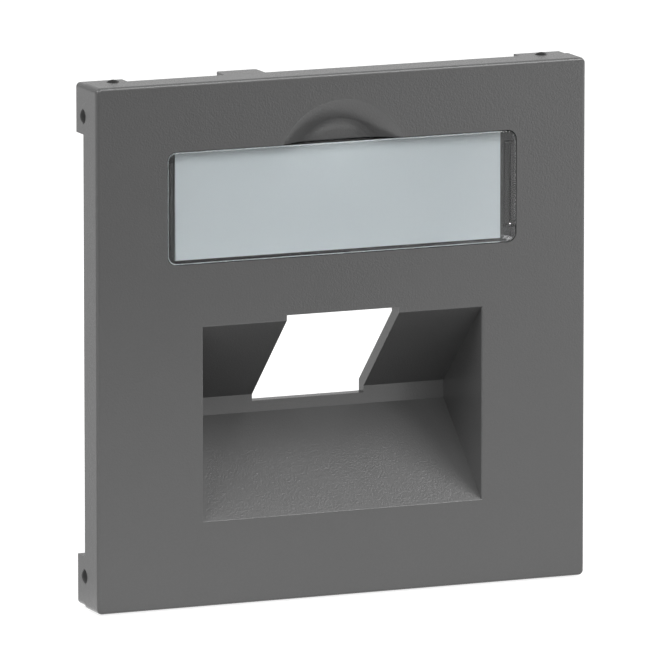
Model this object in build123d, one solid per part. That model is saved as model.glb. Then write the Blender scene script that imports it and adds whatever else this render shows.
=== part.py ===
"""Centre plate of a one-gang data outlet with a slanted jack opening and a label window.

Frame: X to the right, Y into the wall, Z up. The origin is the centre of the plate's outline,
in the plane of the corner posts' rear ends. Depths are counted from the front face.
All sizes are in millimetres.
"""
import os
from math import hypot

from build123d import *

# Plate moulding
plate_size = 70.0
outline_radius = 0.7
front_edge_radius = 0.45
face_wall = 2.5
skirt_depth = 4.6
skirt_wall = 1.5

# Corner posts: extensions of the skirt, a little inside its outer faces
post_depth = 7.6
post_wall = 1.9
post_inset = 0.15
post_inset_bottom = 0.25
post_radius = 0.6
post_rear_edge_radius = 0.2
# Each post's length along the top or bottom and along the side
posts = {
    "top left": (6.6, 6.75),
    "top right": (7.2, 6.75),
    "bottom left": (6.9, 7.0),
    "bottom right": (6.9, 7.0),
}

# Domed nubs pressed into the posts' outer faces, which hold the cover frame
nub_inset = 4.33
nub_depth = 4.8
nub_radius = 1.0
nub_height = 0.45
nub_length = 1.0
nub_clearance = 0.01

# Locating tab behind the top edge
tab_left = -14.95
tab_width = 5.75
tab_depth = 7.8
tab_wall = 1.6
tab_corner_radius = 0.5

# Slanted recess: a rectangular mouth narrowing to an upright ledge
mouth_width = 40.0
mouth_top = 2.5
mouth_bottom = -23.65
mouth_edge_radius = 0.2
ledge_depth = 12.0
recess_side_taper = 0.3
ledge_top = -9.35
ledge_bottom = -11.75
recess_wall = 1.6

# Jack opening, cut straight through the face, the upper slope and the top of the ledge
jack_width = 16.1
jack_top = 3.2
jack_bottom = -10.25

# Label pocket in the face
pocket_width = 50.0
pocket_height = 15.1
pocket_top_margin = 9.05
pocket_radius = 1.3
pocket_depth = 2.65
pocket_floor = 1.1
pocket_side_wall = 1.4

# Finger scoop above the label window, its middle a little below the pocket's top edge
scoop_drop = 3.95
scoop_depth = 2.2
scoop_face_radius = 9.5
scoop_floor_radius = 6.0
scoop_fillet_radius = 3.0
scoop_backing = 1.5

# Label card, lying on the pocket's floor between the window's legs
card_end_gap = 0.72
card_top_gap = 0.6
card_bottom_gap = 0.4
card_thickness = 0.3
card_play = 0.02

# Clear label window, which lies on the card and pulls out to the front
window_gap = 0.1
window_thickness = pocket_depth - card_thickness - card_play
window_edge_radius = 0.2
leg_thickness = 0.9
leg_height = 11.4
leg_depth = 3.6
leg_gap = 0.15
leg_end_gap = 0.2
leg_tip_chamfer = 0.25

# Places worked out from the sizes
half = plate_size / 2
pocket_top_z = half - pocket_top_margin
pocket_centre_z = pocket_top_z - pocket_height / 2
scoop_centre_z = pocket_top_z - scoop_drop


def prism(sketch, front, back):
    """Solid from a sketch seen from the front, between two depths behind the front face."""
    return extrude(Plane.XZ.offset(post_depth - back) * sketch, back - front)


def at_depth(depth, x=0.0, z=0.0):
    """Location of a point given by its depth behind the front face."""
    return Location((x, depth - post_depth, z))


def rectangle(width, height, radius=0.0):
    """Centred rectangle, with rounded corners where a radius is given."""
    return RectangleRounded(width, height, radius) if radius > 0 else Rectangle(width, height)


def span(left, right, bottom, top):
    """Rectangle between four limits."""
    return Pos((left + right) / 2, (bottom + top) / 2) * Rectangle(right - left, top - bottom)


def face_and_skirt():
    """Front wall with its skirt, open at the back."""
    outline = rectangle(plate_size, plate_size, outline_radius)
    shell = prism(outline, 0, skirt_depth)
    front_edges = shell.faces().sort_by(Axis.Y)[0].edges()
    shell = fillet(front_edges, front_edge_radius)
    inside = plate_size - 2 * skirt_wall
    return shell - prism(rectangle(inside, inside, outline_radius), face_wall, skirt_depth)


def post_outline():
    """Outline of the posts' outer faces, set in more along the bottom."""
    width = plate_size - 2 * post_inset
    height = plate_size - post_inset - post_inset_bottom
    return Pos(0, half - post_inset - height / 2) * rectangle(width, height, post_radius)


def corner_directions(name):
    """Directions from the centre to a named corner, in X and in Z."""
    return (1 if "right" in name else -1, 1 if "top" in name else -1)


def corner_post(name):
    """Angle-shaped post at one corner, with slightly rounded rear edges."""
    side_x, side_z = corner_directions(name)
    length_x, length_z = posts[name]
    hollow = plate_size - 2 * post_inset - 2 * post_wall
    middle = Pos(side_x * (half - length_x / 2), side_z * (half - length_z / 2))
    corner = middle * Rectangle(length_x, length_z)
    angle = (post_outline() - rectangle(hollow, hollow, post_radius)) & corner
    post = prism(angle, face_wall / 2, post_depth)
    rear_edges = post.faces().sort_by(Axis.Y)[-1].edges()
    return fillet(rear_edges, post_rear_edge_radius)


def nub():
    """Round pin below the ground plane with a low dome above it."""
    dome = TangentArc((0, nub_height), (nub_radius, 0), tangent=(1, 0))
    rest = Polyline((nub_radius, 0), (nub_radius, -nub_length), (0, -nub_length), (0, nub_height))
    return revolve(Plane.XZ * make_face([dome, rest]), Axis.Z)


def nub_hole():
    """Blind hole for a nub's pin, with the same floor."""
    return Cylinder(nub_radius + nub_clearance, 2 * nub_length)


def nub_seats():
    """Planes on the posts' outer faces where the nubs stand, one to the side and one to the end."""
    seats = {}
    along = half - nub_inset
    for name in posts:
        side_x, side_z = corner_directions(name)
        end_face = half - (post_inset if side_z > 0 else post_inset_bottom)
        side = at_depth(nub_depth, side_x * (half - post_inset), side_z * along)
        end = at_depth(nub_depth, side_x * along, side_z * end_face)
        corner = name.replace(" ", "_")
        seats[f"nub_{corner}_side"] = Plane(side.position, z_dir=(side_x, 0, 0))
        seats[f"nub_{corner}_end"] = Plane(end.position, z_dir=(0, 0, side_z))
    return seats


def locating_tab():
    """Flat tab that continues the top of the skirt towards the wall."""
    outline = span(tab_left, tab_left + tab_width, half - tab_wall, half)
    tab = prism(outline, skirt_depth / 2, tab_depth)
    corners = tab.edges().filter_by(Axis.Z).group_by(Axis.Y)[-1]
    return fillet(corners, tab_corner_radius)


def recess_frustum(offset):
    """Flat-sided funnel of the recess, or with an offset square to its walls, of its moulding.

    It is what the profile seen from the side and the profile seen from above have in common.
    """
    length = ledge_depth + offset
    upper_slope = (mouth_top - ledge_top) / ledge_depth
    lower_slope = (ledge_bottom - mouth_bottom) / ledge_depth
    side_slope = recess_side_taper / ledge_depth
    high = mouth_top + offset * hypot(1, upper_slope)
    low = mouth_bottom - offset * hypot(1, lower_slope)
    wide = mouth_width / 2 + offset * hypot(1, side_slope)
    high_end = high - upper_slope * length
    low_end = low + lower_slope * length
    wide_end = wide - side_slope * length
    side_view = Polyline((0, low), (0, high), (length, high_end), (length, low_end), close=True)
    top_view = Polyline((-wide, 0), (wide, 0), (wide_end, length), (-wide_end, length), close=True)
    across = extrude(Plane.YZ * make_face(side_view), plate_size / 2, both=True)
    upright = extrude(make_face(top_view), plate_size / 2, both=True)
    return at_depth(0) * (across & upright)


def behind_face():
    """Space behind the middle of the front wall, which bounds the recess moulding."""
    return prism(Rectangle(plate_size, plate_size), face_wall / 2, ledge_depth + 2 * recess_wall)


def jack_cut():
    """Straight cut for the jack, from in front of the face to behind the ledge."""
    width = jack_width / 2
    return prism(span(-width, width, jack_bottom, jack_top), -1, ledge_depth + 2 * recess_wall)


def scoop_solid():
    """Round finger scoop: a cone with a rounded foot, turned about an axis square to the face."""
    face_y = -post_depth
    floor_y = face_y + scoop_depth
    middle, foot, rim = (0, floor_y), (scoop_floor_radius, floor_y), (scoop_face_radius, face_y)
    dish = FilletPolyline(middle, foot, rim, radius=scoop_fillet_radius)
    rest = Polyline(rim, (0, face_y), middle)
    turned = revolve(make_face([dish, rest]), Axis.Y)
    return Pos(0, 0, scoop_centre_z) * turned


def pocket_backing():
    """Box, round boss and two sockets behind the face that carry the pocket, scoop and legs."""
    width = pocket_width + 2 * pocket_side_wall
    height = pocket_height + 2 * pocket_side_wall
    outline = Pos(0, pocket_centre_z) * rectangle(width, height, pocket_radius)
    backing = prism(outline, face_wall / 2, pocket_depth + pocket_floor)
    boss = Pos(0, scoop_centre_z) * Circle(scoop_floor_radius + scoop_backing)
    backing += prism(boss, face_wall / 2, scoop_depth + scoop_backing)
    for socket in leg_sockets(pocket_side_wall):
        backing += prism(socket, face_wall / 2, leg_depth + leg_end_gap + pocket_floor)
    return backing


def leg_centres():
    """X of the window's two legs."""
    outer = pocket_width / 2 - window_gap
    return [side * (outer - leg_thickness / 2) for side in (-1, 1)]


def leg_sockets(wall=0.0):
    """Outlines of the two leg sockets, or of the walls round them."""
    inner = leg_centres()[1] - leg_thickness / 2 - leg_gap - wall
    outer = pocket_width / 2 + wall
    height = leg_height + 2 * leg_gap + 2 * wall
    middle = (inner + outer) / 2
    return [Pos(side * middle, pocket_centre_z) * Rectangle(outer - inner, height) for side in (-1, 1)]


def pocket_cut():
    """Label pocket with its two leg sockets and the finger scoop."""
    outline = Pos(0, pocket_centre_z) * rectangle(pocket_width, pocket_height, pocket_radius)
    cut = prism(outline, -1, pocket_depth) + scoop_solid()
    for socket in leg_sockets():
        cut += prism(socket, pocket_depth / 2, leg_depth + leg_end_gap)
    return cut


def plate():
    """The whole plate moulding."""
    recess_moulding = recess_frustum(recess_wall) & behind_face()
    body = face_and_skirt() + recess_moulding + pocket_backing() + locating_tab()
    for name in posts:
        body += corner_post(name)
    body -= recess_frustum(0)
    mouth = body.faces().sort_by(Axis.Y)[0].inner_wires()[0].edges()
    body = fillet(mouth, mouth_edge_radius)
    body -= jack_cut()
    body -= pocket_cut()
    for seat in nub_seats().values():
        body -= seat * nub_hole()
    return body


def window():
    """Clear window: a flat cover with a leg at each end."""
    width = pocket_width - 2 * window_gap
    height = pocket_height - 2 * window_gap
    outline = Pos(0, pocket_centre_z) * rectangle(width, height, pocket_radius - window_gap)
    cover = prism(outline, 0, window_thickness)
    cover = fillet(cover.faces().sort_by(Axis.Y)[0].edges(), window_edge_radius)
    for middle in leg_centres():
        outline = Pos(middle, pocket_centre_z) * Rectangle(leg_thickness, leg_height)
        leg = prism(outline, window_thickness / 2, leg_depth)
        tip = leg.faces().sort_by(Axis.Y)[-1].edges()
        cover += chamfer(tip, leg_tip_chamfer)
    return cover


def card():
    """Label card on the pocket's floor."""
    end = leg_centres()[1] - leg_thickness / 2 - card_end_gap
    low = pocket_top_z - pocket_height + card_bottom_gap
    outline = span(-end, end, low, pocket_top_z - card_top_gap)
    return prism(outline, pocket_depth - card_thickness, pocket_depth)


if __name__ == "__main__":
    os.makedirs("parts", exist_ok=True)
    nodes = {"plate": plate(), "label_window": window(), "label_card": card()}
    for name, seat in nub_seats().items():
        nodes[name] = seat * nub()
    for name, solid in nodes.items():
        export_step(solid, f"parts/{name}.step")
        print(name, round(solid.volume, 1), solid.bounding_box())
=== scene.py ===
"""Scene for the centre plate of a data outlet: anthracite moulding, clear window and pale card.

Lengths are metres in the plate's own frame: +X to the right, +Y into the wall, +Z up. Colours are
linear red, green and blue.
"""
import math

import bpy
import numpy as np
from mathutils import Matrix, Vector


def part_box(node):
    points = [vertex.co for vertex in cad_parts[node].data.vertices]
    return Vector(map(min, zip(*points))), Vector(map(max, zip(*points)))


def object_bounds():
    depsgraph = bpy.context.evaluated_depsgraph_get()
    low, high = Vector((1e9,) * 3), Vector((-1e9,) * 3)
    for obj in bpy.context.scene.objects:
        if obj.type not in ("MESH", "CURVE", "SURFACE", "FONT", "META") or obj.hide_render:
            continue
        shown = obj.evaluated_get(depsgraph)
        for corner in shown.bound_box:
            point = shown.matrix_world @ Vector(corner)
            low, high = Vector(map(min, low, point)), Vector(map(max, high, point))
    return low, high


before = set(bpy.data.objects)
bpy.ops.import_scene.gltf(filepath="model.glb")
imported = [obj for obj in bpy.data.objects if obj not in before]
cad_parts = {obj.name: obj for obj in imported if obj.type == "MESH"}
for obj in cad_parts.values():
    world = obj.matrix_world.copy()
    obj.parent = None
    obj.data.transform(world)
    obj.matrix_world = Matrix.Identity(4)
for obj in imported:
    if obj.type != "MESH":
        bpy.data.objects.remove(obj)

CAD_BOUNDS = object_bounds()
MM = 0.001

# Places on the plate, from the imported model
FACE = Vector((0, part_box("plate")[0][1], 0))
FLOOR_Z = CAD_BOUNDS[0][2]

# The camera, fitted to the plate's edges in the photograph, with places from the face's middle
PHOTO_SIZE = 665
FOCAL_PIXELS = 11686.2
SENSOR_MM = 36.0
CAMERA_PLACE = FACE + Vector((-595.7, -1397.6, 269.1)) * MM
CAMERA_AIM = FACE + Vector((-1.534, 0, 0.456)) * MM
NEAREST_SEEN = 0.05
FARTHEST_SEEN = 20

# The moulding: clouds and speckle in its colour, and grain that breaks up its gloss
MOULDING_DARK = (0.080, 0.080, 0.080)
MOULDING_PALE = (0.094, 0.094, 0.094)
MOULDING_CLOUDS = 9 * MM
MOULDING_SPECKLE = 0.28 * MM
SPECKLE_SHARE = 0.65
MOULDING_GRAIN = 0.26 * MM
GRAIN_HEIGHT = 0.030 * MM
MOULDING_ROUGHNESS = 0.22
SPECKLE_ROUGHNESS = 0.06
MOULDING_IOR = 1.5

# The clear window
WINDOW_COLOUR = (0.985, 0.995, 1.0)
WINDOW_IOR = 1.49

# The card under the window
CARD_DARK = (0.86, 0.93, 0.955)
CARD_PALE = (0.90, 0.965, 0.985)
CARD_FIBRES = 0.5 * MM
CARD_CLOUDS = 12 * MM
FIBRE_SHARE = 0.5
CARD_ROUGHNESS = 0.70
FIBRE_ROUGHNESS = 0.1

# The nubs, near-black: painted shade that gives them their dark look
NUB_SHADE_DARK = (0.006, 0.006, 0.006)
NUB_SHADE_PALE = (0.010, 0.010, 0.010)
NUB_LUMPS = 0.5 * MM
NUB_ROUGHNESS = 0.45
LUMP_ROUGHNESS = 0.1
NUB_SHINE = 0.3

# The floor: its colour, the white that the lens sees on top of its light, its size, the share of
# it that one middle face takes, and its gap under the plate
FLOOR_COLOUR = (0.35, 0.35, 0.35)
FLOOR_WHITE = 0.85
FLOOR_RADIUS = 4.0
FLOOR_MIDDLE = 0.02
FLOOR_TURNS = 48
FLOOR_RINGS = 6
FLOOR_GAP = 0.02 * MM

# What gloss sees of the floor: bright in front by the plate, behind it and to the right of a
# slanted line, and dark in the rest
GLOW_NEAR = 1.7
GLOW_BEHIND = 1.03
GLOW_RIGHT = 2.2
BEHIND_SOFT = 40 * MM
NEAR_EDGE = 170 * MM
NEAR_SOFT = 110 * MM
RIGHT_EDGE = -28 * MM
RIGHT_SOFT = 50 * MM
RIGHT_SLANT = 2.15

# What gloss sees past the floor: pale behind and beside the plate, and nearly dark in front of it
GLOSS_BACK = 0.70
GLOSS_FRONT = 0.1
FRONT_EDGE = 0.3
FRONT_SOFT = 0.6

# Lamps as name, bearing and height in degrees, width and power. A bearing of 0 is straight in
# front of the plate and 90 is to its right.
LAMP_DISTANCE = 1.2
LAMPS = (
    ("front_left_light", -50, 20, 0.5, 2.8),
    ("front_right_light", 35, 15, 0.5, 0.9),
    ("front_light", 0, 35, 0.6, 4.6),
    ("left_light", -75, 45, 0.6, 8.8),
    ("right_light", 45, 45, 0.6, 9.2),
    ("back_light", 120, 20, 0.6, 6.0),
)


class Wire:
    """A socket in a finish. An expression on wires adds the Math nodes that work it out."""

    def __init__(self, finish, socket):
        self.finish = finish
        self.socket = socket

    def maths(self, operation, first, second):
        """One Math node, as a new wire."""
        return self.finish.add("ShaderNodeMath", {"operation": operation}, {0: first, 1: second})

    def __add__(self, other):
        return self.maths("ADD", self, other)

    def __radd__(self, other):
        return self.maths("ADD", other, self)

    def __sub__(self, other):
        return self.maths("SUBTRACT", self, other)

    def __rsub__(self, other):
        return self.maths("SUBTRACT", other, self)

    def __mul__(self, other):
        return self.maths("MULTIPLY", self, other)

    def __rmul__(self, other):
        return self.maths("MULTIPLY", other, self)

    def __neg__(self):
        return 0 - self

    def over(self, edge, soft):
        """0 below an edge and 1 above it, with a soft step of the given width."""
        step = {"interpolation_type": "SMOOTHSTEP"}
        ends = {"From Min": edge - soft / 2, "From Max": edge + soft / 2}
        return self.finish.add("ShaderNodeMapRange", step, {"Value": self} | ends)

    def is_zero(self):
        """1 where a count of bounces is 0, and 0 where it is 1 or more."""
        return 1 - self.over(0.5, 0.5)


class Finish:
    """A material and the one way to add a node to it."""

    def __init__(self, name):
        self.material = bpy.data.materials.new(name)
        self.material.use_nodes = True
        self.tree = self.material.node_tree
        self.tree.nodes.clear()

    @classmethod
    def on(cls, tree):
        """The same tools on the node tree of the surroundings."""
        finish = cls.__new__(cls)
        finish.tree = tree
        tree.nodes.clear()
        return finish

    def add(self, kind, settings=None, inputs=None, output=0):
        """Adds a node, makes its settings, fills its inputs, and gives one of its outputs."""
        node = self.tree.nodes.new(kind)
        for name, value in (settings or {}).items():
            setattr(node, name, value)
        for name, value in (inputs or {}).items():
            if isinstance(value, Wire):
                self.tree.links.new(value.socket, node.inputs[name])
            else:
                node.inputs[name].default_value = value
        if node.outputs:
            return Wire(self, node.outputs[output])

    def place(self):
        """The point on the object, in metres."""
        return self.add("ShaderNodeTexCoord", output="Object")

    def parts(self, vector):
        """X, Y and Z of a vector, as three wires."""
        split = self.add("ShaderNodeSeparateXYZ", inputs={0: vector})
        return [Wire(self, socket) for socket in split.socket.node.outputs]

    def rays(self):
        """Two wires that are 1 or 0: for a ray from the lens, and for one mirrored by gloss.

        A ray that passes straight through glass is still the lens's own. A ray that has met a matt
        surface on its way is neither, and so is one that was mirrored inside glass.
        """
        path = self.add("ShaderNodeLightPath").socket.node.outputs
        lens = Wire(self, path["Is Camera Ray"])
        gloss = Wire(self, path["Is Glossy Ray"])
        glass = Wire(self, path["Is Transmission Ray"])
        clean = Wire(self, path["Diffuse Depth"]).is_zero()
        straight = Wire(self, path["Glossy Depth"]).is_zero()
        return lens + glass * clean * straight, gloss * (1 - glass) * clean

    def noise(self, size, detail=2.0, roughness=0.5):
        """Soft noise from 0 to 1 with lumps of a given size in metres."""
        inputs = {
            "Vector": self.place(),
            "Scale": 1 / size,
            "Detail": detail,
            "Roughness": roughness,
        }
        return self.add("ShaderNodeTexNoise", inputs=inputs, output="Fac")

    def blend(self, amount, first, second):
        """The first colour where the amount is 0, the second where it is 1, and between them."""
        settings = {"data_type": "RGBA", "blend_type": "MIX"}
        inputs = {0: amount, 6: opaque(first), 7: opaque(second)}
        return self.add("ShaderNodeMix", settings, inputs, output=2)

    def bump(self, height, distance):
        """Normal of a surface raised by a height from 0 to 1 over a distance in metres."""
        inputs = {"Height": height, "Distance": distance}
        return self.add("ShaderNodeBump", inputs=inputs, output="Normal")

    def surface(self, **inputs):
        """The plain shader with named inputs, joined to the output."""
        named = {name.replace("_", " "): value for name, value in inputs.items()}
        shader = self.add("ShaderNodeBsdfPrincipled", inputs=named)
        self.add("ShaderNodeOutputMaterial", inputs={"Surface": shader})
        return self.material


def opaque(colour):
    """Colour with full cover, from its three parts."""
    return (*colour, 1.0)


def anthracite_finish():
    """Fine-grained matt moulding with faint clouds in its colour."""
    finish = Finish("anthracite_moulding")
    clouds = finish.noise(MOULDING_CLOUDS, detail=3.0)
    speckle = finish.noise(MOULDING_SPECKLE, roughness=0.6)
    grain = finish.noise(MOULDING_GRAIN, roughness=0.65)
    tone = (1 - SPECKLE_SHARE) * clouds + SPECKLE_SHARE * speckle
    return finish.surface(
        Base_Color=finish.blend(tone, MOULDING_DARK, MOULDING_PALE),
        Roughness=MOULDING_ROUGHNESS + SPECKLE_ROUGHNESS * speckle,
        Normal=finish.bump(grain, GRAIN_HEIGHT),
        IOR=MOULDING_IOR,
    )


def clear_finish():
    """Clear polished plastic."""
    finish = Finish("clear_window")
    return finish.surface(
        Base_Color=opaque(WINDOW_COLOUR),
        Roughness=0.0,
        IOR=WINDOW_IOR,
        Transmission_Weight=1.0,
    )


def card_finish():
    """Pale blue-grey card with fine fibres."""
    finish = Finish("label_card")
    fibres = finish.noise(CARD_FIBRES, detail=3.0, roughness=0.6)
    clouds = finish.noise(CARD_CLOUDS)
    tone = FIBRE_SHARE * fibres + (1 - FIBRE_SHARE) * clouds
    return finish.surface(
        Base_Color=finish.blend(tone, CARD_DARK, CARD_PALE),
        Roughness=CARD_ROUGHNESS + FIBRE_ROUGHNESS * fibres,
    )


def nub_painted_shade_finish():
    """Near-black, smooth and a little uneven: painted shade that gives the nubs their dark look.
    """
    finish = Finish("black_nub")
    lumps = finish.noise(NUB_LUMPS)
    return finish.surface(
        Base_Color=finish.blend(lumps, NUB_SHADE_DARK, NUB_SHADE_PALE),
        Roughness=NUB_ROUGHNESS + LUMP_ROUGHNESS * lumps,
        Specular_IOR_Level=NUB_SHINE,
    )


def dress(node, material):
    """Gives a CAD node its finish."""
    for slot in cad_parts[node].material_slots:
        slot.material = material


def floor_finish():
    """Floor that a lens sees as white, a little darker in the object's shadow.

    Gloss sees it glow by the plate, behind it and to the right, and dark in front to the left.
    """
    finish = Finish("floor_white")
    lens, gloss = finish.rays()
    x, y, _ = finish.parts(finish.place())
    ahead = -y
    behind = y.over(0, BEHIND_SOFT)
    far = ahead.over(NEAR_EDGE, NEAR_SOFT)
    left = (ahead - RIGHT_SLANT * x).over(RIGHT_EDGE, RIGHT_SOFT)
    near = GLOW_BEHIND * behind + GLOW_NEAR * (1 - behind) * (1 - far)
    glow = near + GLOW_RIGHT * far * (1 - left)
    matt = finish.add("ShaderNodeBsdfDiffuse", inputs={"Color": opaque(FLOOR_COLOUR)})
    white = finish.add("ShaderNodeEmission", inputs={"Color": lens * FLOOR_WHITE})
    seen = finish.add("ShaderNodeAddShader", inputs={0: matt, 1: white})
    mirrored = finish.add("ShaderNodeEmission", inputs={"Color": glow})
    both = finish.add("ShaderNodeMixShader", inputs={0: gloss, 1: seen, 2: mirrored})
    finish.add("ShaderNodeOutputMaterial", inputs={"Surface": both})
    return finish.material


def floor():
    """Round floor under the plate's lower edge, of quads on rings and one middle face.

    A point is at its ring's reach from the middle, towards its turn's angle: reach times the
    angle's cosine to the right, and reach times its sine into the wall.
    """
    turns = np.linspace(0, 2 * math.pi, FLOOR_TURNS, endpoint=False)
    rings = FLOOR_RADIUS * np.linspace(FLOOR_MIDDLE, 1, FLOOR_RINGS)
    angle, reach = np.meshgrid(turns, rings)
    points = np.stack([reach * np.cos(angle), reach * np.sin(angle), 0 * angle], -1)
    points = points.reshape(-1, 3) + (0, 0, FLOOR_Z - FLOOR_GAP)
    start = np.arange((FLOOR_RINGS - 1) * FLOOR_TURNS)
    turn, ring = start % FLOOR_TURNS, start // FLOOR_TURNS
    following = ring * FLOOR_TURNS + (turn + 1) % FLOOR_TURNS
    quads = np.stack([start, start + FLOOR_TURNS, following + FLOOR_TURNS, following], -1)
    middle = list(range(FLOOR_TURNS))
    mesh = bpy.data.meshes.new("floor")
    mesh.from_pydata(points.tolist(), [], quads.tolist() + [middle])
    piece = bpy.data.objects.new("floor", mesh)
    piece.data.materials.append(floor_finish())
    bpy.context.collection.objects.link(piece)


def surroundings():
    """White for the lens, pale or nearly dark for gloss, and no light on matt surfaces."""
    world = bpy.data.worlds.new("studio")
    world.use_nodes = True
    sky = Finish.on(world.node_tree)
    lens, gloss = sky.rays()
    depth = sky.parts(sky.add("ShaderNodeTexCoord", output="Generated"))[1]
    front = (-depth).over(FRONT_EDGE, FRONT_SOFT)
    mirrored = GLOSS_BACK + (GLOSS_FRONT - GLOSS_BACK) * front
    inputs = {"Color": opaque((1, 1, 1)), "Strength": lens + gloss * mirrored}
    background = sky.add("ShaderNodeBackground", inputs=inputs)
    sky.add("ShaderNodeOutputWorld", inputs={"Surface": background})
    bpy.context.scene.world = world


def lamp(name, bearing, height, width, watts):
    """Square soft lamp that faces the plate's middle from a bearing and a height."""
    data = bpy.data.lights.new(name, "AREA")
    data.shape = "SQUARE"
    data.size = width
    data.energy = watts
    turn, rise = math.radians(bearing), math.radians(height)
    right, ahead = math.cos(rise) * math.sin(turn), math.cos(rise) * math.cos(turn)
    direction = Vector((right, -ahead, math.sin(rise)))
    lamp_object = bpy.data.objects.new(name, data)
    lamp_object.matrix_world = facing(LAMP_DISTANCE * direction, Vector((0, 0, 0)))
    bpy.context.collection.objects.link(lamp_object)


def facing(place, aim):
    """Matrix of a lamp or lens at a place, level, that looks at a point."""
    turn = (aim - place).to_track_quat("-Z", "Y")
    return Matrix.Translation(place) @ turn.to_matrix().to_4x4()


def camera():
    """Lens at the photograph's place and angle."""
    data = bpy.data.cameras.new("photo_lens")
    data.sensor_width = SENSOR_MM
    data.lens = FOCAL_PIXELS * SENSOR_MM / PHOTO_SIZE
    data.clip_start = NEAREST_SEEN
    data.clip_end = FARTHEST_SEEN
    lens = bpy.data.objects.new("photo_lens", data)
    lens.matrix_world = facing(CAMERA_PLACE, CAMERA_AIM)
    bpy.context.collection.objects.link(lens)
    bpy.context.scene.camera = lens


dress("plate", anthracite_finish())
dress("label_window", clear_finish())
dress("label_card", card_finish())
# The nubs get painted shade: a near-black colour that stands for their dark look
black = nub_painted_shade_finish()
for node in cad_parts:
    if node.startswith("nub_"):
        dress(node, black)
floor()
surroundings()
for settings in LAMPS:
    lamp(*settings)
camera()
bpy.context.scene.view_settings.view_transform = "Standard"
